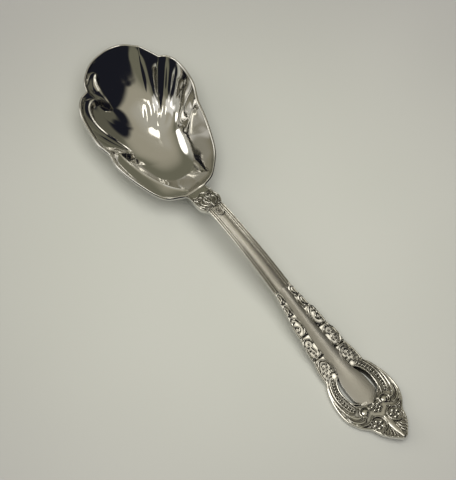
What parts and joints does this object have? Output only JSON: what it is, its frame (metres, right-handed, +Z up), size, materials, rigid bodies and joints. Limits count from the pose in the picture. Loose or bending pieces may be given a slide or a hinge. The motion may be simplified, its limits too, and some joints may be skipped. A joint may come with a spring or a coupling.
{
  "type": "sugar spoon",
  "caption": "Sugar spoon with an asymmetric, lobed and fluted bowl, an ornamented collar, a threaded stem and a flared handle with pierced slots.",
  "frame": {"origin": "point of the bowl's resting flat on the handle's long axis, at the height of the table", "axes": "+Z up, out of the bowl's hollow; +Y along the handle's axis towards the bowl's far lobe; +X to the right, seen from above with the bowl pointing away"},
  "size_m": [0.037, 0.152, 0.0137],
  "materials": {
    "mirror_polish": "mirror-polished stainless steel",
    "satin": "fine satin stainless steel",
    "relief": "bright struck relief, darker in its recesses"
  },
  "bodies": {
    "root": {"bowl": "mirror_polish", "collar": "relief", "stem": "satin", "panel": "satin", "border_left": "relief", "border_right": "relief", "terminal": "relief"}
  },
  "joints": []
}
